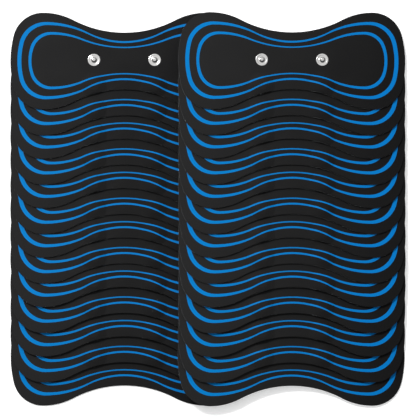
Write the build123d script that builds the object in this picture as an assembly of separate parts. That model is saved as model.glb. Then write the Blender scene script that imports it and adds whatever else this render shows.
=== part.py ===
from build123d import *
import os
from math import asin, atan2, cos, degrees, hypot, radians, sin, tan

# Two columns of press-stud electrode pads, fanned like shingles and laid flat on a table.
# Millimetres, +Z up. The origin is on the table, under the middle of the whole arrangement.

# ---- driving dimensions ----

# outline of one pad: a butterfly, wide lobes at both ends of a narrower neck
pad_half_width = 86.4
neck_half_height = 21.8
lobe_half_height = 37.05
shoulder_radius = 50.0  # lobe crest, on the side towards the neck
corner_radius = 22.9  # lobe crest, on the side towards the pad's edge
side_bow = 1.7  # how far the pad's side bows out past its corners

# layers of one pad, from the bottom up
liner_thickness = 0.12
gel_thickness = 0.80
film_thickness = 0.15
cover_thickness = 0.45
glue_line = 0.02  # left open between layers
gel_margin = 4.0  # bare edge of the cover around the gel
film_margin = 5.0
pole_gap = 9.0  # between the left and the right electrode

# snap fasteners
snap_pitch = 46.0
snap_offset = 0.8  # the studs sit this far above the middle of the pad
stud_flange_radius = 4.7
stud_flange_thickness = 0.40
stud_rim_chamfer = 0.12
stud_rim_width = 1.2  # level rim of the flange, outside its groove
groove_depth = 0.12
groove_side = 0.3
stud_head_radius = 1.95
stud_undercut = 0.40  # from the head in to the waist
stud_flare = 0.20  # slope above and below the waist
stud_waist_height = 0.60
stud_land_height = 0.40  # straight side of the head, which the mating socket grips
stud_crown_radius = 1.10
stud_wall = 0.35
eyelet_flange_radius = 3.6
eyelet_flange_thickness = 0.20
eyelet_wall = 0.30
rivet_clearance = 0.05
post_tip_gap = 0.85  # between the end of the eyelet's post and the inside of the stud's crown

# how the pads lie
pads_per_column = 13
long_step = 19.6  # from each odd pad to the next, towards -Y
short_step = 17.8  # from each even pad to the next
column_pitch = 126.2
layer_gap = 0.28  # least gap between two pads, square to them
ramp_pads = 4  # pads over which the lean grows from none, at the lowest pad, to its full angle
stacking_gap = 0.30  # over a stud, and between the two columns

# bumps of a pad, where it drapes over the studs of the pad below
bump_top_clearance = 0.45  # level top of a bump, beyond the head of the stud under it
bump_edge_gap = 0.62  # flat rim left between a bump and the edge of the pad above, or the pad's own studs
bump_bend_share = 0.62  # of the largest bend radius that the slope has room for

# ---- derived dimensions ----

film_base = liner_thickness + gel_thickness + 2 * glue_line
cover_base = film_base + film_thickness + glue_line
pad_thickness = cover_base + cover_thickness

neck_height = stud_flange_thickness + stud_waist_height
land_top = neck_height + stud_land_height
stud_height = land_top + stud_crown_radius
stud_waist_radius = stud_head_radius - stud_undercut
stud_bore_radius = stud_waist_radius - stud_wall
eyelet_post_radius = stud_bore_radius - rivet_clearance
eyelet_reach = stud_height - stud_wall - post_tip_gap  # above the cover

bump_rise = stud_height + stacking_gap - layer_gap
bump_top_radius = stud_head_radius + bump_top_clearance

lobe_crest_inset = corner_radius + side_bow  # from the pad's side to the highest point of a lobe
crest_x = pad_half_width - lobe_crest_inset
crest_drop = lobe_half_height - shoulder_radius - neck_half_height
neck_radius = (crest_x**2 + crest_drop**2 - shoulder_radius**2) / (2 * (lobe_half_height - neck_half_height))
# room round a bump's middle, up to the lower edge of the pad above and up to the pad's own studs
neck_centre_y = neck_half_height + neck_radius
edge_room = neck_radius - hypot(snap_pitch / 2, neck_centre_y + snap_offset - long_step - short_step)
stud_room = min(long_step, short_step) - stud_flange_radius
bump_radius = min(edge_room, stud_room) - bump_edge_gap
bump_run = bump_radius - bump_top_radius  # width of the slope round the level top
bump_bend_radius = bump_bend_share * (bump_run**2 + bump_rise**2) / (4 * bump_rise)
side_rise = lobe_half_height - corner_radius
side_radius = (lobe_crest_inset**2 + side_rise**2 - corner_radius**2) / (2 * side_bow)


# ---- outline and layers ----

def outline(margin):
    """The pad's outline as a face, the given margin inside the pad's edge."""
    neck = (0, neck_centre_y)
    shoulder = (crest_x, lobe_half_height - shoulder_radius)
    corner = (crest_x, lobe_half_height - corner_radius)
    side = (pad_half_width - side_radius, 0)
    turn = degrees(atan2(shoulder[1] - neck[1], shoulder[0] - neck[0]))
    blend = degrees(atan2(corner[1] - side[1], corner[0] - side[0]))
    quarter = [
        CenterArc(neck, neck_radius + margin, -90, turn + 90),
        CenterArc(shoulder, shoulder_radius - margin, turn + 180, -turn - 90),
        CenterArc(corner, corner_radius - margin, 90, blend - 90),
        CenterArc(side, side_radius - margin, blend, -blend),
    ]
    right = quarter + [edge.mirror(Plane.XZ) for edge in quarter]
    return Face(Wire(right + [edge.mirror(Plane.YZ) for edge in right]))


def turned(section):
    """A piece turned about the vertical axis from the edges of its half section."""
    return revolve(Plane.XZ * Face(Wire(section)), axis=Axis.Z)


def bump_edges(height):
    """Section line of a bump at one height above the pad's underside, from its middle out to the flat."""
    climb = bump_rise - 2 * bump_bend_radius
    slope = degrees(atan2(climb, bump_run) + asin(2 * bump_bend_radius / hypot(bump_run, climb)))
    brow = CenterArc((bump_top_radius, bump_rise - bump_bend_radius), bump_bend_radius + height, 90, -slope)
    foot = CenterArc((bump_radius, bump_bend_radius), bump_bend_radius - height, -90 - slope, slope)
    return [Line((0, bump_rise + height), brow @ 0), brow, Line(brow @ 1, foot @ 0), foot]


def bump(base, thickness):
    """One layer of a bump, before the pad's outline is cut."""
    below = bump_edges(base)
    above = bump_edges(base + thickness)
    ends = [Line(below[0] @ 0, above[0] @ 0), Line(below[-1] @ 1, above[-1] @ 1)]
    return turned(below + above + ends)


def layer(base, thickness, margin, step):
    """One layer of the pad, cut to the outline, with bumps over the studs of a pad that lies a step below."""
    flat = Pos(0, 0, base) * extrude(outline(margin), amount=thickness, dir=(0, 0, 1))
    if step == 0:
        return flat
    prism = extrude(outline(margin), amount=bump_rise + 2 * pad_thickness, dir=(0, 0, 1))
    over_studs = Pos(0, snap_offset - step, 0)
    room = Cylinder(bump_radius, 4 * pad_thickness)
    for side in (-1, 1):
        place = over_studs * Pos(side * snap_pitch / 2, 0, 0)
        flat = flat - place * room + (place * bump(base, thickness) & prism)
    return flat


def halves(whole):
    """A layer split into its left and right electrode."""
    slot = Box(pole_gap, 4 * lobe_half_height, 6 * pad_thickness + 2 * bump_rise)
    return [solid.clean() for solid in (whole - slot).solids()]


def at_snaps(shape):
    """The same shape at both snap fasteners."""
    return [Pos(side * snap_pitch / 2, snap_offset, 0) * shape for side in (-1, 1)]


# ---- snap fasteners ----

def stud():
    """Hollow snap stud: a grooved flange on the cover and a round-topped head."""
    crown_start = stud_head_radius - stud_crown_radius
    inside_top = stud_height - stud_wall
    groove_edge = stud_flange_radius - stud_rim_width
    groove_floor = stud_flange_thickness - groove_depth
    straight = Polyline(
        (crown_start, stud_height),
        (0, stud_height),
        (0, inside_top),
        (stud_bore_radius, inside_top),
        (stud_bore_radius, 0),
        (stud_flange_radius - stud_rim_chamfer, 0),
        (stud_flange_radius, stud_rim_chamfer),
        (stud_flange_radius, stud_flange_thickness - stud_rim_chamfer),
        (stud_flange_radius - stud_rim_chamfer, stud_flange_thickness),
        (groove_edge, stud_flange_thickness),
        (groove_edge - groove_side, groove_floor),
        (stud_waist_radius + stud_undercut, groove_floor),
        (stud_waist_radius, stud_flange_thickness + stud_flare),
        (stud_waist_radius, neck_height - stud_flare),
        (stud_head_radius, neck_height),
        (stud_head_radius, land_top),
    )
    crown = CenterArc((crown_start, land_top), stud_crown_radius, 0, 90)
    return Pos(0, 0, pad_thickness) * turned(straight.edges() + [crown])


def eyelet():
    """Eyelet: a flange under the carbon film, and a tube riveted up inside the stud."""
    top = film_base - glue_line / 2
    tip = pad_thickness + eyelet_reach
    bore = eyelet_post_radius - eyelet_wall
    return turned(Polyline(
        (bore, top - eyelet_flange_thickness),
        (eyelet_flange_radius, top - eyelet_flange_thickness),
        (eyelet_flange_radius, top),
        (eyelet_post_radius, top),
        (eyelet_post_radius, tip),
        (bore, tip),
        close=True,
    ).edges())


# ---- one pad ----

def cut_at_snaps(shape, tool):
    """A layer less the tool at both snap fasteners."""
    for copy in at_snaps(tool):
        shape = shape - copy
    return shape


def pad_pieces(step):
    """Every piece of one pad, in the pad's own frame: underside at z = 0, centre at the origin."""
    post_hole = Cylinder(eyelet_post_radius + rivet_clearance, 4 * pad_thickness)
    pocket_floor = film_base - glue_line - eyelet_flange_thickness - rivet_clearance
    from_floor = (Align.CENTER, Align.CENTER, Align.MIN)
    pocket = Pos(0, 0, pocket_floor) * Cylinder(
        eyelet_flange_radius + rivet_clearance, pad_thickness, align=from_floor
    )
    gel = layer(liner_thickness + glue_line, gel_thickness, gel_margin, step)
    film = layer(film_base, film_thickness, film_margin, step)
    cover = layer(cover_base, cover_thickness, 0, step)
    return {
        "cover": cut_at_snaps(cover, post_hole).solids(),
        "carbon_films": halves(cut_at_snaps(film, post_hole)),
        "gel_pads": halves(cut_at_snaps(gel, pocket)),
        "liner": layer(0, liner_thickness, 0, step).solids(),
        "snap_studs": at_snaps(stud()),
        "eyelets": at_snaps(eyelet()),
    }


# ---- where each pad lies ----

def step_below(number):
    """Distance from a pad to the next one down its column."""
    return long_step if number % 2 else short_step


def lean_share(number):
    """How much of the full lean a pad has: none at the lowest pad, all of it from a few pads up."""
    return min(1, (pads_per_column - number) / ramp_pads)


tilted = range(1, pads_per_column)
climb_room = sum(step_below(number) * lean_share(number) for number in tilted)
full_lean = asin(len(tilted) * (pad_thickness + layer_gap) / climb_room)


def column_places():
    """Place of every pad in its column: each lies on the upper edge of the pad below it."""
    shift = -sum(step_below(number) for number in tilted)
    lean, edge_height = 0, 0
    places = {pads_per_column: Pos(0, shift, 0)}
    for number in reversed(tilted):
        touch_y = shift + lobe_half_height * cos(lean) + pad_thickness * sin(lean)
        touch_z = edge_height + pad_thickness * cos(lean)
        shift += step_below(number)
        lean = full_lean * lean_share(number)
        past = shift + lobe_half_height * cos(lean) - touch_y
        edge_height = touch_z + layer_gap / cos(lean) - past * tan(lean)
        lift = edge_height + lobe_half_height * sin(lean)
        places[number] = Pos(0, shift, lift) * Rot(-degrees(lean), 0, 0)
    return places


pad_places = column_places()
column_height = max(
    place.position.Z + lobe_half_height * sin(full_lean) + pad_thickness for place in pad_places.values()
)


def right_column_place():
    """The right column rests on the table at its right side and on the left column."""
    hinge = column_pitch + pad_half_width
    rest = pad_half_width - lobe_crest_inset / 2
    roll = degrees(atan2(column_height + stacking_gap, hinge - rest))
    return Pos(hinge, 0, 0) * Rot(0, roll, 0) * Pos(column_pitch - hinge, 0, 0)


shapes = {step: pad_pieces(step) for step in (0, long_step, short_step)}
columns = {"left": Pos(0, 0, 0), "right": right_column_place()}

nodes = {}
for column, column_place in columns.items():
    for number in range(1, pads_per_column + 1):
        pieces = shapes[step_below(number) if number < pads_per_column else 0]
        place = column_place * pad_places[number]
        placed = {piece: [place * solid for solid in solids] for piece, solids in pieces.items()}
        name = f"{column}_pad_{number:02d}"
        if number == 1:
            for piece, solids in placed.items():
                nodes[f"{name}_{piece}"] = solids
        else:
            layers = ("cover", "carbon_films", "gel_pads", "liner")
            nodes[f"{name}_laminate"] = [solid for piece in layers for solid in placed[piece]]
            nodes[f"{name}_snaps"] = placed["snap_studs"] + placed["eyelets"]

whole = Compound([solid for solids in nodes.values() for solid in solids]).bounding_box()
to_origin = Pos(-whole.center().X, -whole.center().Y, -whole.min.Z)

os.makedirs("parts", exist_ok=True)
for name, solids in nodes.items():
    export_step(to_origin * Compound(solids), f"parts/{name}.step")
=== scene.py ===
from math import asin, atan2, cos, hypot, pi, radians, sin, sqrt, tan

import bmesh
import bpy
from mathutils import Matrix, Vector


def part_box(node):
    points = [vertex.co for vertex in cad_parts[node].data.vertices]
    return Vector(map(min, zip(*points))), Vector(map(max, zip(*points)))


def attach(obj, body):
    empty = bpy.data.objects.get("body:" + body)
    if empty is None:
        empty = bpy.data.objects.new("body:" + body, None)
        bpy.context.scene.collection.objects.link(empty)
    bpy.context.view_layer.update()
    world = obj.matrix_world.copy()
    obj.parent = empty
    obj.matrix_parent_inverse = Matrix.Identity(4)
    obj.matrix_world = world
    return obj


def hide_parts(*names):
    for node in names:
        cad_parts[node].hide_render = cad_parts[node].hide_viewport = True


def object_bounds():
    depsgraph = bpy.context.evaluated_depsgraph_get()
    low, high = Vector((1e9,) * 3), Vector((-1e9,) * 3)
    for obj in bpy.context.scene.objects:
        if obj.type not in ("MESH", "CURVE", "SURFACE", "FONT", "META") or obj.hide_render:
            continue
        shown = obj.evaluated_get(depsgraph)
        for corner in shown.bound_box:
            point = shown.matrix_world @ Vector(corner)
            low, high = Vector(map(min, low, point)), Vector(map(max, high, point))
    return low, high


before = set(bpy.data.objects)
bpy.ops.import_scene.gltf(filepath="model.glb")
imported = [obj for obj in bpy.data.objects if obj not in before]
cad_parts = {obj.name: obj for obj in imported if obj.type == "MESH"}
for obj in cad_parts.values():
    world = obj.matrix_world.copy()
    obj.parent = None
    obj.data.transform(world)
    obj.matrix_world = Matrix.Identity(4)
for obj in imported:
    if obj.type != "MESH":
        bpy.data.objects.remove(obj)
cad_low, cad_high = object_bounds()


# ---- Release liner ----
# The clear polyester film that closes the underside of every pad. It is die-cut to the same butterfly
# outline as the cover, lies on the tacky gel, and is peeled off before use. The other layers lie on it.

PAD_OUTLINE = {
    "half_width": 0.0864,
    "neck": 0.0218,  # half height at the middle
    "lobe": 0.03705,  # half height at the crest of a lobe
    "crest_inset": 0.0246,  # from the pad's side to the crest
    "shoulder": 0.0500,  # radius on the neck's side of the crest
    "corner": 0.0229,  # radius on the outer side of the crest
}
ARC_STEP = 0.0016  # edge length along a cut outline
TOUCHING = 1e-6  # points nearer than this are one point
SHARP_TURN = radians(28)  # a steeper turn between two faces stays a corner
LINER_THICKNESS = 0.00012
GLUE_LINE = 0.00002
PAD_THICKNESS = 0.00158
LAYER_GAP = 0.00028
STACKING_GAP = 0.00030
PADS_PER_COLUMN = 13
LONG_STEP = 0.0196
SHORT_STEP = 0.0178
RAMP_PADS = 4
COLUMN_PITCH = 0.1262
SNAP_PITCH = 0.0460
SNAP_OFFSET = 0.0008
HEAD_RADIUS = 0.00195
STUD_HEIGHT = 0.00250
BUMP_TOP_CLEARANCE = 0.00045  # level top of a bump, beyond the head of the stud under it
BUMP_RUN = 0.0080  # width of the slope round the level top
BUMP_BEND_SHARE = 0.62  # of the largest bend radius that the slope has room for
BUMP_RISE = STUD_HEIGHT + STACKING_GAP - LAYER_GAP
BUMP_RADIUS = HEAD_RADIUS + BUMP_TOP_CLEARANCE + BUMP_RUN
BUMP_BEND = BUMP_BEND_SHARE * (BUMP_RUN**2 + BUMP_RISE**2) / (4 * BUMP_RISE)
BUMP_CELLS = 28  # across the square round a bump


def spin_arc(mesh, point, centre, sweep):
    """Spins the last point of an edge chain about a centre and returns the new last point."""
    length = abs(sweep) * (point.co - Vector(centre)).length
    steps = max(3, round(length / ARC_STEP))
    spun = bmesh.ops.spin(
        mesh, geom=[point], cent=centre, axis=(0, 0, 1), dvec=(0, 0, 0), angle=sweep, steps=steps,
    )
    return spun["geom_last"][0]


def cut_outline(outline, margin=0.0):
    """A flat loop of tangent arcs, the given margin inside its outline, mirrored from one quarter."""
    half_width, neck, lobe = outline["half_width"], outline["neck"], outline["lobe"]
    inset, shoulder, corner = outline["crest_inset"], outline["shoulder"], outline["corner"]
    crest = half_width - inset
    drop = lobe - shoulder - neck
    neck_radius = (crest**2 + drop**2 - shoulder**2) / (2 * (lobe - neck))
    side_radius = (inset**2 + (lobe - corner)**2 - corner**2) / (2 * (inset - corner))
    neck_turn = pi / 2 + atan2(drop - neck_radius, crest)
    side_turn = atan2(lobe - corner, crest - half_width + side_radius)
    mesh = bmesh.new()
    point = bmesh.ops.create_vert(mesh, co=(0, neck - margin, 0))["vert"][0]
    point = spin_arc(mesh, point, (0, neck + neck_radius, 0), neck_turn)
    point = spin_arc(mesh, point, (crest, lobe - shoulder, 0), -neck_turn)
    point = spin_arc(mesh, point, (crest, lobe - corner, 0), side_turn - pi / 2)
    spin_arc(mesh, point, (half_width - side_radius, 0, 0), -side_turn)
    for axis in "XY":
        bmesh.ops.mirror(
            mesh, geom=mesh.verts[:] + mesh.edges[:], matrix=Matrix.Identity(4),
            merge_dist=TOUCHING, axis=axis,
        )
    bmesh.ops.remove_doubles(mesh, verts=mesh.verts, dist=TOUCHING)
    return mesh


def thicken(mesh, base, thickness):
    """Extrudes the flat faces of a mesh into a closed slab between two heights."""
    grown = bmesh.ops.extrude_face_region(mesh, geom=mesh.faces[:])["geom"]
    top = [item for item in grown if isinstance(item, bmesh.types.BMVert)]
    bmesh.ops.translate(mesh, verts=mesh.verts, vec=(0, 0, base))
    bmesh.ops.translate(mesh, verts=top, vec=(0, 0, thickness))
    bmesh.ops.recalc_face_normals(mesh, faces=mesh.faces)
    return mesh


def rim_edges(mesh, height):
    """The edges that run round a slab at one height, between a level face and an upright one."""
    return [
        edge for edge in mesh.edges
        if all(abs(end.co.z - height) < TOUCHING for end in edge.verts)
        and len({round(abs(face.normal.z)) for face in edge.link_faces}) == 2
    ]


def ease(mesh, height, radius, segments):
    """Rounds the rim of a slab at one height."""
    bmesh.ops.bevel(
        mesh, geom=rim_edges(mesh, height), offset=radius, offset_type="OFFSET", segments=segments,
        profile=0.5, affect="EDGES", material=-1,
    )


def bump_height(inward, height):
    """Height of a layer some way inward from a bump's foot, where it has the given height."""
    span = hypot(BUMP_RUN, BUMP_RISE - 2 * BUMP_BEND)
    slope = atan2(BUMP_RISE - 2 * BUMP_BEND, BUMP_RUN) + asin(2 * BUMP_BEND / span)
    foot, brow = BUMP_BEND - height, BUMP_BEND + height
    if inward <= 0:
        return height
    if inward < foot * sin(slope):
        return BUMP_BEND - sqrt(foot**2 - inward**2)
    if inward < BUMP_RUN - brow * sin(slope):
        return BUMP_BEND - foot * cos(slope) + (inward - foot * sin(slope)) * tan(slope)
    if inward < BUMP_RUN:
        return BUMP_RISE - BUMP_BEND + sqrt(brow**2 - (BUMP_RUN - inward)**2)
    return BUMP_RISE + height


def square_distance(point, centre):
    """The larger of the two distances from a centre, along X and along Y."""
    return max(abs(apart) for apart in (point - centre).xy)


def cut_cells(mesh, centre):
    """Cuts the square round a bump into small cells: first its four sides, then the rest inside it."""
    shares = [-1, 1] + [2 * cut / BUMP_CELLS - 1 for cut in range(1, BUMP_CELLS)]
    for share in shares:
        for across in (Vector((1, 0, 0)), Vector((0, 1, 0))):
            faces = [
                face for face in mesh.faces
                if abs(share) == 1 or square_distance(face.calc_center_bounds(), centre) < BUMP_RADIUS
            ]
            edges = {edge for face in faces for edge in face.edges}
            verts = {vert for face in faces for vert in face.verts}
            bmesh.ops.bisect_plane(
                mesh, geom=[*verts, *edges, *faces], dist=1e-7,
                plane_co=centre + across * BUMP_RADIUS * share, plane_no=across,
            )


def shape_pad_piece(mesh, step):
    """Maps a flat piece and presses bumps into it, over the studs of a pad that lies a step below."""
    centres = [Vector((side * SNAP_PITCH / 2, SNAP_OFFSET - step, 0)) for side in (-1, 1) if step]
    for centre in centres:
        cut_cells(mesh, centre)
    flat = mesh.loops.layers.uv.new("flat")
    for face in mesh.faces:
        for loop in face.loops:
            loop[flat].uv = loop.vert.co.xy
    for vert in mesh.verts:
        for centre in centres:
            inward = BUMP_RADIUS - (vert.co - centre).xy.length
            if inward > 0:
                vert.co.z = bump_height(inward, vert.co.z)


def all_shapes(name, build):
    """The three shapes of a layer: flat for the lowest pads, or bumped a short or a long step away."""
    shapes = {}
    for step in (0, SHORT_STEP, LONG_STEP):
        mesh = build()
        shape_pad_piece(mesh, step)
        shapes[step] = finish_mesh(mesh, name)
    return shapes


def finish_mesh(mesh, name):
    """Turns a bmesh into mesh data that is smooth except at its corners."""
    bmesh.ops.recalc_face_normals(mesh, faces=mesh.faces)
    for face in mesh.faces:
        face.smooth = True
    for edge in mesh.edges:
        edge.smooth = len(edge.link_faces) == 2 and edge.calc_face_angle(0) < SHARP_TURN
    data = bpy.data.meshes.new(name)
    mesh.to_mesh(data)
    mesh.free()
    return data


def step_below(number):
    """Distance from a pad to the next one down its column; nothing lies below the last."""
    if number == PADS_PER_COLUMN:
        return 0
    return LONG_STEP if number % 2 else SHORT_STEP


def lean_share(number):
    """How much of the full lean a pad has: none at the lowest pad, all of it from a few pads up."""
    return min(1, (PADS_PER_COLUMN - number) / RAMP_PADS)


def places_in_column():
    """Place of every pad in its column: each lies on the upper edge of the pad below it."""
    tilted = range(1, PADS_PER_COLUMN)
    climb_room = sum(step_below(number) * lean_share(number) for number in tilted)
    full_lean = asin(len(tilted) * (PAD_THICKNESS + LAYER_GAP) / climb_room)
    lobe = PAD_OUTLINE["lobe"]
    shift = -sum(step_below(number) for number in tilted)
    lean, edge_height = 0, 0
    places = {PADS_PER_COLUMN: Matrix.Translation((0, shift, 0))}
    for number in reversed(tilted):
        touch_y = shift + lobe * cos(lean) + PAD_THICKNESS * sin(lean)
        touch_z = edge_height + PAD_THICKNESS * cos(lean)
        shift += step_below(number)
        lean = full_lean * lean_share(number)
        edge_height = touch_z + LAYER_GAP / cos(lean) - (shift + lobe * cos(lean) - touch_y) * tan(lean)
        lift = Matrix.Translation((0, shift, edge_height + lobe * sin(lean)))
        places[number] = lift @ Matrix.Rotation(-lean, 4, "X")
    highest = max(place.translation.z for place in places.values())
    return places, highest + lobe * sin(full_lean) + PAD_THICKNESS


def column_places(height):
    """Places of the left column, found from its lowest pad, and of the right one, which leans on it."""
    low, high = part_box(f"left_pad_{PADS_PER_COLUMN}_laminate")
    middle = (Vector(low) + Vector(high)) / 2
    left = Matrix.Translation((middle.x, middle.y - PAD_PLACES[PADS_PER_COLUMN].translation.y, 0))
    half_width = PAD_OUTLINE["half_width"]
    hinge = COLUMN_PITCH + half_width
    rest = half_width - PAD_OUTLINE["crest_inset"] / 2
    roll = Matrix.Rotation(atan2(height + STACKING_GAP, hinge - rest), 4, "Y")
    right = left @ Matrix.Translation((hinge, 0, 0)) @ roll @ Matrix.Translation((-half_width, 0, 0))
    return {"left": left, "right": right}


PAD_PLACES, COLUMN_HEIGHT = places_in_column()
PADS = [
    (f"{column}_pad_{number:02d}", number, place @ PAD_PLACES[number])
    for column, place in column_places(COLUMN_HEIGHT).items()
    for number in range(1, PADS_PER_COLUMN + 1)
]


def node_of(body, number, piece):
    """The CAD node that holds a piece: a top pad has one for each kind of piece, any other pad two."""
    if number == 1:
        return f"{body}_{piece}"
    return f"{body}_snaps" if piece in ("snap_studs", "eyelets") else f"{body}_laminate"


def lay_on_pads(shapes, suffix, piece, material, offset=(0, 0, 0)):
    """Puts a copy of a layer or a fastener on every pad, and returns the new pieces."""
    made = []
    for body, number, place in PADS:
        data = shapes[step_below(number)].copy()
        data.transform(place @ Matrix.Translation(offset))
        data.materials.append(material)
        layer = bpy.data.objects.new(f"{body}_{suffix}", data)
        bpy.context.scene.collection.objects.link(layer)
        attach(layer, body)
        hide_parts(node_of(body, number, piece))
        made.append(layer)
    return made


def new_material(name, **inputs):
    """A material with its even values set straight on the shader, and the parts that a pattern needs."""
    material = bpy.data.materials.new(name)
    material.use_nodes = True
    tree = material.node_tree
    shader = tree.nodes["Principled BSDF"]
    for label, value in inputs.items():
        shader.inputs[label.replace("_", " ")].default_value = value
    return material, tree, shader


def add_node(tree, kind, values=(), **settings):
    """A node with its settings, and the given values on its inputs."""
    node = tree.nodes.new(kind)
    for label, value in settings.items():
        setattr(node, label, value)
    for label, value in values:
        node.inputs[label].default_value = value
    return node


def cut_map(tree):
    """The piece's own map, in metres across its flat cut."""
    return add_node(tree, "ShaderNodeUVMap", uv_map="flat").outputs["UV"]


def split_axes(tree, vector):
    """The X, Y and Z of a vector."""
    split = add_node(tree, "ShaderNodeSeparateXYZ")
    tree.links.new(vector, split.inputs["Vector"])
    return split.outputs


def ramp(tree, value, start, end, low, high):
    """Runs evenly from low to high while a value goes from start to end."""
    spread = add_node(tree, "ShaderNodeMapRange", [
        ("From Min", start), ("From Max", end), ("To Min", low), ("To Max", high),
    ])
    tree.links.new(value, spread.inputs["Value"])
    return spread.outputs["Result"]


def mottle(tree, where, scale, detail, low, high):
    """A soft random value between two limits."""
    noise = add_node(tree, "ShaderNodeTexNoise", [("Scale", scale), ("Detail", detail)])
    tree.links.new(where, noise.inputs["Vector"])
    return ramp(tree, noise.outputs["Fac"], 0.3, 0.7, low, high)


def tint(tree, shader, fac, dark, light):
    """Mixes the base colour between two shades."""
    blend = add_node(tree, "ShaderNodeMix", data_type="RGBA")
    blend.inputs["A"].default_value = (*dark, 1)
    blend.inputs["B"].default_value = (*light, 1)
    tree.links.new(fac, blend.inputs["Factor"])
    tree.links.new(blend.outputs["Result"], shader.inputs["Base Color"])


def raise_by(tree, shader, height, distance, strength):
    """Bump from a height pattern."""
    bump = add_node(tree, "ShaderNodeBump", [("Distance", distance), ("Strength", strength)])
    tree.links.new(height, bump.inputs["Height"])
    tree.links.new(bump.outputs["Normal"], shader.inputs["Normal"])


def clear_film():
    """Clear film with a faint haze and a few shallow ripples."""
    material, tree, shader = new_material(
        "clear_liner_film", Base_Color=(0.86, 0.90, 0.92, 1), Transmission_Weight=0.9, IOR=1.5,
        Specular_IOR_Level=0.5,
    )
    where = cut_map(tree)
    tree.links.new(mottle(tree, where, 90, 2, 0.10, 0.24), shader.inputs["Roughness"])
    raise_by(tree, shader, mottle(tree, where, 60, 3, 0, 1), 0.0004, 0.25)
    return material


def build_liner():
    """The film, cut to the pad's outline."""
    mesh = cut_outline(PAD_OUTLINE)
    bmesh.ops.edgeloop_fill(mesh, edges=mesh.edges)
    return thicken(mesh, 0, LINER_THICKNESS)


PAD_AREA = sum(face.calc_area() for face in build_liner().faces) / 2

liner_shapes = all_shapes("liner", build_liner)
for liner in lay_on_pads(liner_shapes, "liner_film", "liner", clear_film()):
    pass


# ---- Hydrogel pads ----
# Two slabs of clear, tacky hydrogel carry the current into the skin, one for each pole, with a bare strip
# between them. They are cast about a fine scrim and stuck under the carbon films; their edges are rounded.

GEL_BASE = LINER_THICKNESS + GLUE_LINE
GEL_THICKNESS = 0.00080
GEL_MARGIN = 0.0040
POLE_GAP = 0.0090
GEL_EDGE = 0.00025
SCRIM_PITCH = 0.0012


def half_layer(side, margin, base, thickness, rounding):
    """One pole's share of a layer: the outline cut off at the gap, closed and thickened."""
    mesh = cut_outline(PAD_OUTLINE, margin)
    bmesh.ops.edgeloop_fill(mesh, edges=mesh.edges)
    bmesh.ops.bisect_plane(
        mesh, geom=mesh.verts[:] + mesh.edges[:] + mesh.faces[:], dist=1e-7,
        plane_co=(side * POLE_GAP / 2, 0, 0), plane_no=(side, 0, 0), clear_inner=True,
    )
    thicken(mesh, base, thickness)
    if rounding:
        ease(mesh, base, rounding, 3)
        ease(mesh, base + thickness, rounding, 3)
    return mesh


def crossed_waves(tree, where, wave_kind, turns_per_metre, joined_by):
    """A wave along each side of the map, both joined into one height."""
    axes = split_axes(tree, where)
    joined = add_node(tree, "ShaderNodeMath", operation=joined_by)
    for place, axis in enumerate("XY"):
        turns = add_node(tree, "ShaderNodeMath", operation="MULTIPLY")
        turns.inputs[1].default_value = turns_per_metre
        wave = add_node(tree, "ShaderNodeMath", operation=wave_kind)
        tree.links.new(axes[axis], turns.inputs[0])
        tree.links.new(turns.outputs[0], wave.inputs[0])
        tree.links.new(wave.outputs[0], joined.inputs[place])
    return joined.outputs[0]


def hydrogel():
    """Wet, clear gel with the faint grid of its scrim."""
    material, tree, shader = new_material(
        "hydrogel", Transmission_Weight=0.72, IOR=1.36, Roughness=0.12, Coat_Weight=0.4, Coat_Roughness=0.06,
    )
    where = cut_map(tree)
    grid = crossed_waves(tree, where, "COSINE", 2 * pi / SCRIM_PITCH, "MAXIMUM")
    shade = ramp(tree, grid, 0.90, 1.0, 0, 1)
    tint(tree, shader, shade, (0.70, 0.82, 0.86), (0.93, 0.96, 0.97))
    raise_by(tree, shader, mottle(tree, where, 140, 3, 0, 1), 0.0003, 0.2)
    return material


gel_material = hydrogel()
for side, word in ((-1, "left"), (1, "right")):
    gel_shapes = all_shapes(
        f"gel_{word}", lambda: half_layer(side, GEL_MARGIN, GEL_BASE, GEL_THICKNESS, GEL_EDGE)
    )
    lay_on_pads(gel_shapes, f"gel_{word}", "gel_pads", gel_material)


# ---- Carbon films ----
# A conductive sheet over each gel pad spreads the current from the stud over the whole of its pole. It is
# carbon powder in a soft plastic, rolled thin, and it is glued under the cover.

FILM_BASE = GEL_BASE + GEL_THICKNESS + GLUE_LINE
FILM_THICKNESS = 0.00015
FILM_MARGIN = 0.0050


def carbon_film():
    """Matt black film with a fine rolled grain."""
    material, tree, shader = new_material("carbon_film", Specular_IOR_Level=0.4)
    where = cut_map(tree)
    tree.links.new(mottle(tree, where, 900, 4, 0.50, 0.68), shader.inputs["Roughness"])
    tint(tree, shader, mottle(tree, where, 2600, 2, 0, 1), (0.010, 0.010, 0.011), (0.022, 0.022, 0.023))
    raise_by(tree, shader, mottle(tree, where, 4000, 2, 0, 1), 0.00002, 0.5)
    return material


carbon_material = carbon_film()
for side, word in ((-1, "left"), (1, "right")):
    film_shapes = all_shapes(
        f"film_{word}", lambda: half_layer(side, FILM_MARGIN, FILM_BASE, FILM_THICKNESS, 0)
    )
    lay_on_pads(film_shapes, f"carbon_film_{word}", "carbon_films", carbon_material)


# ---- Cover ----
# The face of the pad: a tightly woven black cloth with a soft matt coating, cut through together with the
# liner, so its edge is square below and slightly rolled over on top, where the blade came in.

COVER_BASE = FILM_BASE + FILM_THICKNESS + GLUE_LINE
COVER_THICKNESS = PAD_THICKNESS - COVER_BASE
COVER_EDGE = 0.00016
THREAD_PITCH = 0.00042
THREAD_STRAY = 0.35  # of the pitch, how far a thread wanders
# painted shade and painted light: the shaded and lit ends of the cloth's painted side-to-side shading; the
# random clouds also vary between them
CLOTH_SHADED_END = (0.0050, 0.0050, 0.0052)
CLOTH_LIT_END = (0.0184, 0.0184, 0.0187)


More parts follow.
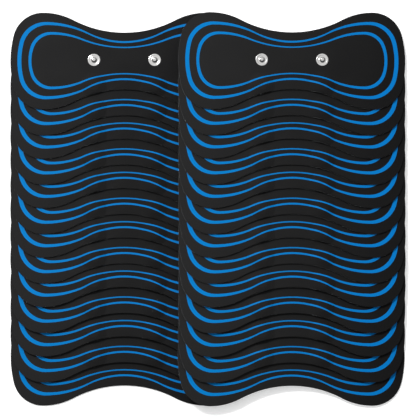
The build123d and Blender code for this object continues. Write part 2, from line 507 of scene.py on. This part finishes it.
def build_cover():
    """The cloth, cut to the pad's outline, with its upper edge rolled over."""
    mesh = cut_outline(PAD_OUTLINE)
    bmesh.ops.edgeloop_fill(mesh, edges=mesh.edges)
    thicken(mesh, COVER_BASE, COVER_THICKNESS)
    ease(mesh, PAD_THICKNESS, COVER_EDGE, 3)
    return mesh


def plain_weave(tree, where):
    """Height of a plain weave: threads that pass over and under each other, a little uneven."""
    stray = add_node(tree, "ShaderNodeTexNoise", [("Scale", 500), ("Detail", 2)])
    tree.links.new(where, stray.inputs["Vector"])
    reach = THREAD_PITCH * THREAD_STRAY
    shift = add_node(tree, "ShaderNodeVectorMath", [("Scale", reach)], operation="SCALE")
    tree.links.new(stray.outputs["Color"], shift.inputs[0])
    moved = add_node(tree, "ShaderNodeVectorMath", operation="ADD")
    tree.links.new(where, moved.inputs[0])
    tree.links.new(shift.outputs["Vector"], moved.inputs[1])
    return crossed_waves(tree, moved.outputs["Vector"], "SINE", pi / THREAD_PITCH, "MULTIPLY")


def painted_side_shade_and_clouds(tree, where, scale, cloudiness):
    """Painted light and shade: lighter towards the pad's left end and darker towards its right end, as if
    lit from the left, with small random clouds in it.
    """
    half_width = PAD_OUTLINE["half_width"]
    # painted shade: runs from lit at the pad's left end to shaded at its right end
    painted_light_ramp = ramp(tree, split_axes(tree, where)["X"], half_width, -half_width, 0.10, 0.85)
    cloud = add_node(tree, "ShaderNodeMath", operation="ADD")
    tree.links.new(painted_light_ramp, cloud.inputs[0])
    tree.links.new(mottle(tree, where, scale, 3, -cloudiness, cloudiness), cloud.inputs[1])
    return cloud.outputs[0]


def black_cloth():
    """Black coated cloth: fine weave, slightly cloudy, with painted light and shade, lighter towards the
    pad's left end and darker towards its right.
    """
    material, tree, shader = new_material("black_coated_cloth", Specular_IOR_Level=0.05, Sheen_Weight=0.01)
    where = cut_map(tree)
    tint(tree, shader, painted_side_shade_and_clouds(tree, where, 1500, 0.16), CLOTH_SHADED_END, CLOTH_LIT_END)
    tree.links.new(mottle(tree, where, 40, 2, 0.66, 0.80), shader.inputs["Roughness"])
    raise_by(tree, shader, plain_weave(tree, where), 0.00003, 0.5)
    return material


cover_shapes = all_shapes("cover", build_cover)
for cover in lay_on_pads(cover_shapes, "cover_cloth", "cover", black_cloth()):
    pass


# ---- Printed bands ----
# Two blue lines follow the outline on every cover. They are screen-printed in one thick pass of ink, so they
# stand a hair above the cloth; each is broad at the pad's ends and fine at the neck.

BAND_OFFSET = 0.0003  # above the middle of the pad
INK_SINK = 0.00001  # the ink soaks this far into the cloth
INK_THICKNESS = 0.00005
BAND_LOOPS = {
    "outer": (
        {
            "half_width": 0.08112, "neck": 0.01490, "lobe": 0.02953,
            "crest_inset": 0.02112, "shoulder": 0.0690, "corner": 0.0200,
        },
        {
            "half_width": 0.07812, "neck": 0.01350, "lobe": 0.02728,
            "crest_inset": 0.01962, "shoulder": 0.0717, "corner": 0.0186,
        },
    ),
    "inner": (
        {
            "half_width": 0.07272, "neck": 0.01053, "lobe": 0.02188,
            "crest_inset": 0.01672, "shoulder": 0.0607, "corner": 0.0158,
        },
        {
            "half_width": 0.07052, "neck": 0.00961, "lobe": 0.01993,
            "crest_inset": 0.01562, "shoulder": 0.0627, "corner": 0.0147,
        },
    ),
}
# painted shade and painted light: the shaded and lit ends of the ink's painted side-to-side shading; the
# random clouds also vary between them
INK_SHADED_END = (0.0003, 0.150, 0.452)
INK_LIT_END = (0.0008, 0.180, 0.500)


def build_band(outer, inner):
    """A closed ribbon of ink between two butterfly loops."""
    mesh = cut_outline(outer)
    inside = cut_outline(inner)
    data = bpy.data.meshes.new("inner_loop")
    inside.to_mesh(data)
    inside.free()
    mesh.from_mesh(data)
    bpy.data.meshes.remove(data)
    bmesh.ops.bridge_loops(mesh, edges=mesh.edges)
    bmesh.ops.translate(mesh, verts=mesh.verts, vec=(0, BAND_OFFSET, 0))
    return thicken(mesh, PAD_THICKNESS - INK_SINK, INK_SINK + INK_THICKNESS)


def blue_ink():
    """Satin blue ink that lets the weave show through a little, with painted light and shade: lighter
    towards the pad's left end.
    """
    material, tree, shader = new_material("blue_screen_ink", Specular_IOR_Level=0.03)
    where = cut_map(tree)
    tint(tree, shader, painted_side_shade_and_clouds(tree, where, 700, 0.25), INK_SHADED_END, INK_LIT_END)
    tree.links.new(mottle(tree, where, 300, 2, 0.42, 0.55), shader.inputs["Roughness"])
    raise_by(tree, shader, plain_weave(tree, where), 0.00002, 0.35)
    return material


ink_material = blue_ink()
for word, (outer, inner) in BAND_LOOPS.items():
    band_shapes = all_shapes(f"{word}_band", lambda: build_band(outer, inner))
    lay_on_pads(band_shapes, f"{word}_band", "cover", ink_material)


# ---- Snap studs and eyelets ----
# Nickel-plated brass. The stud's flange and its hollow head are drawn from one disc; the eyelet comes up
# from under the carbon film, through film and cover, and is riveted inside the head. The socket of a lead
# grips the head.

FLANGE_RADIUS = 0.0047
FLANGE_THICKNESS = 0.00040
FLANGE_DISH = [  # (radius, height) places from the flange's raised rim, down its channel and up to the waist
    (0.00380, 0.00040), (0.00358, 0.00036), (0.00322, 0.00028), (0.00300, 0.00025), (0.00270, 0.00025),
    (0.00240, 0.00029), (0.00212, 0.00038), (0.00186, 0.00052), (0.00166, 0.00068),
]
WAIST_RADIUS = 0.00155
WAIST_FOOT = 0.00082
WAIST_TOP = 0.00100
BORE_RADIUS = 0.00120
LAND_TOP = 0.00140  # the head is widest, and upright, from the waist up to here
CROWN_RADIUS = STUD_HEIGHT - LAND_TOP
CROWN_WALL = 0.00035
EYELET_RADIUS = 0.0036
EYELET_FLANGE = 0.00020
POST_RADIUS = 0.00115
POST_BORE = 0.00085
POST_REACH = 0.00130  # how far the post stands up into the head
POST_EDGE = 0.00006
EYELET_MOUTH = 0.00008
TURN_STEPS = 48


def chain(mesh, point, places):
    """Adds straight edges through the given (radius, height) places and returns the last point."""
    for radius, height in places:
        grown = bmesh.ops.extrude_vert_indiv(mesh, verts=[point])["verts"][0]
        grown.co = (radius, 0, height)
        point = grown
    return point


def turn(mesh):
    """Turns a half section about the vertical axis into a closed piece."""
    bmesh.ops.spin(
        mesh, geom=mesh.verts[:] + mesh.edges[:], cent=(0, 0, 0), axis=(0, 0, 1), dvec=(0, 0, 0),
        angle=2 * pi, steps=TURN_STEPS, use_merge=True,
    )
    bmesh.ops.remove_doubles(mesh, verts=mesh.verts, dist=1e-7)
    return mesh


def build_stud():
    """Half section of the stud from its bore, under the flange, round the rim and up over the head."""
    mesh = bmesh.new()
    rim = FLANGE_THICKNESS / 2
    point = bmesh.ops.create_vert(mesh, co=(0, 0, STUD_HEIGHT - CROWN_WALL))["vert"][0]
    point = chain(mesh, point, [
        (BORE_RADIUS, STUD_HEIGHT - CROWN_WALL),
        (BORE_RADIUS, 0),
        (FLANGE_RADIUS - rim, 0),
    ])
    point = arc_in_section(mesh, point, (FLANGE_RADIUS - rim, rim), pi, 6)
    point = chain(mesh, point, FLANGE_DISH)
    point = chain(mesh, point, [
        (WAIST_RADIUS, WAIST_FOOT),
        (WAIST_RADIUS + 0.00006, WAIST_TOP - 0.00016),
        (HEAD_RADIUS - 0.00010, WAIST_TOP - 0.00005),
        (HEAD_RADIUS, WAIST_TOP + 0.00008),
        (HEAD_RADIUS, LAND_TOP),
    ])
    point = arc_in_section(mesh, point, (HEAD_RADIUS - CROWN_RADIUS, LAND_TOP), pi / 2, 10)
    chain(mesh, point, [(0, STUD_HEIGHT)])
    return turn(mesh)


def arc_in_section(mesh, point, centre, sweep, steps):
    """A round stretch of a half section, about a (radius, height) centre."""
    spun = bmesh.ops.spin(
        mesh, geom=[point], cent=(centre[0], 0, centre[1]), axis=(0, -1, 0), dvec=(0, 0, 0),
        angle=sweep, steps=steps,
    )
    return spun["geom_last"][0]


def build_eyelet():
    """Half section of the eyelet: flange below, and above it a tube whose end is slightly bevelled."""
    mesh = bmesh.new()
    top = FILM_BASE - GLUE_LINE / 2
    foot = top - EYELET_FLANGE
    tip = PAD_THICKNESS + POST_REACH
    rim = EYELET_FLANGE / 2
    first = bmesh.ops.create_vert(mesh, co=(POST_BORE, 0, foot + EYELET_MOUTH))["vert"][0]
    point = chain(mesh, first, [(POST_BORE + EYELET_MOUTH, foot), (EYELET_RADIUS - rim, foot)])
    point = arc_in_section(mesh, point, (EYELET_RADIUS - rim, foot + rim), pi, 6)
    point = chain(mesh, point, [
        (POST_RADIUS, top),
        (POST_RADIUS, tip - POST_EDGE),
        (POST_RADIUS - POST_EDGE, tip),
        (POST_BORE, tip),
    ])
    mesh.edges.new((point, first))
    return turn(mesh)


def nickel():
    """Bright tumbled nickel with fine scratches and a little haze."""
    material, tree, shader = new_material("nickel_plate", Metallic=1.0)
    where = add_node(tree, "ShaderNodeTexCoord").outputs["Object"]
    tint(tree, shader, mottle(tree, where, 2500, 3, 0, 1), (0.40, 0.395, 0.39), (0.54, 0.535, 0.525))
    tree.links.new(mottle(tree, where, 1800, 4, 0.08, 0.16), shader.inputs["Roughness"])
    raise_by(tree, shader, mottle(tree, where, 5200, 3, 0, 1), 0.00001, 0.25)
    return material


nickel_material = nickel()
stud_mesh = finish_mesh(build_stud(), "stud")
eyelet_mesh = finish_mesh(build_eyelet(), "eyelet")
stud_shapes = dict.fromkeys((0, SHORT_STEP, LONG_STEP), stud_mesh)
eyelet_shapes = dict.fromkeys((0, SHORT_STEP, LONG_STEP), eyelet_mesh)
for side, word in ((-1, "left"), (1, "right")):
    across = side * SNAP_PITCH / 2
    stud_place = (across, SNAP_OFFSET, PAD_THICKNESS)
    lay_on_pads(stud_shapes, f"stud_{word}", "snap_studs", nickel_material, stud_place)
    eyelet_place = (across, SNAP_OFFSET, 0)
    lay_on_pads(eyelet_shapes, f"eyelet_{word}", "eyelets", nickel_material, eyelet_place)


# ---- Table, light and camera ----
# A plain white table under a lit ceiling that is brightest behind the pads, with a pale horizon and one
# small key lamp from the upper left. The camera looks straight down on the pads through a long lens.

TABLE_HALF = 3.0
VIEW_FIELD = 0.316
VIEW_HEIGHT = 4.0
VIEW_RISE = 0.0009  # the view is centred a little above the middle of the pads
SENSOR = 36.0
SKY_MIDDLE = (-0.15, 0.40, 0.9)  # the brightest part of the ceiling
KEY_PLACE = (-1.2, 1.9, 3.9)

floor_mesh = bmesh.new()
bmesh.ops.create_grid(floor_mesh, x_segments=1, y_segments=1, size=TABLE_HALF)
floor = bpy.data.objects.new("table_top", finish_mesh(floor_mesh, "table_top"))
bpy.context.scene.collection.objects.link(floor)
floor_material, floor_tree, floor_shader = new_material(
    "white_table", Base_Color=(0.93, 0.93, 0.93, 1), Roughness=0.9, Specular_IOR_Level=0.1
)
floor_shader.inputs["Emission Color"].default_value = (1, 1, 1, 1)
floor_shader.inputs["Emission Strength"].default_value = 0.38
floor.data.materials.append(floor_material)

world = bpy.data.worlds.new("studio")
world.use_nodes = True
sky = world.node_tree
direction = add_node(sky, "ShaderNodeTexCoord").outputs["Generated"]
toward = add_node(sky, "ShaderNodeVectorMath", operation="DOT_PRODUCT")
toward.inputs[1].default_value = Vector(SKY_MIDDLE).normalized()
sky.links.new(direction, toward.inputs[0])
ceiling = ramp(sky, toward.outputs["Value"], 0.45, 0.92, 0.03, 1.30)
horizon = ramp(sky, split_axes(sky, direction)["Z"], 0.20, 0.12, 0, 1)
light = add_node(sky, "ShaderNodeMath", operation="MAXIMUM")
sky.links.new(ceiling, light.inputs[0])
sky.links.new(horizon, light.inputs[1])
sky.nodes["Background"].inputs["Color"].default_value = (1, 1, 1, 1)
sky.links.new(light.outputs[0], sky.nodes["Background"].inputs["Strength"])
bpy.context.scene.world = world
bpy.context.scene.view_settings.view_transform = "Standard"

lamp = bpy.data.lights.new("key", "AREA")
lamp.size = 0.5
lamp.energy = 130
holder = bpy.data.objects.new("key", lamp)
holder.location = KEY_PLACE
holder.rotation_euler = (-Vector(KEY_PLACE)).to_track_quat("-Z", "Y").to_euler()
bpy.context.scene.collection.objects.link(holder)

lens = bpy.data.cameras.new("camera")
lens.sensor_width = SENSOR
lens.lens = SENSOR * VIEW_HEIGHT / VIEW_FIELD
lens.clip_end = 20
camera = bpy.data.objects.new("camera", lens)
middle = (cad_low + cad_high) / 2
camera.location = (middle.x, middle.y + VIEW_RISE, VIEW_HEIGHT)
bpy.context.scene.collection.objects.link(camera)
bpy.context.scene.camera = camera
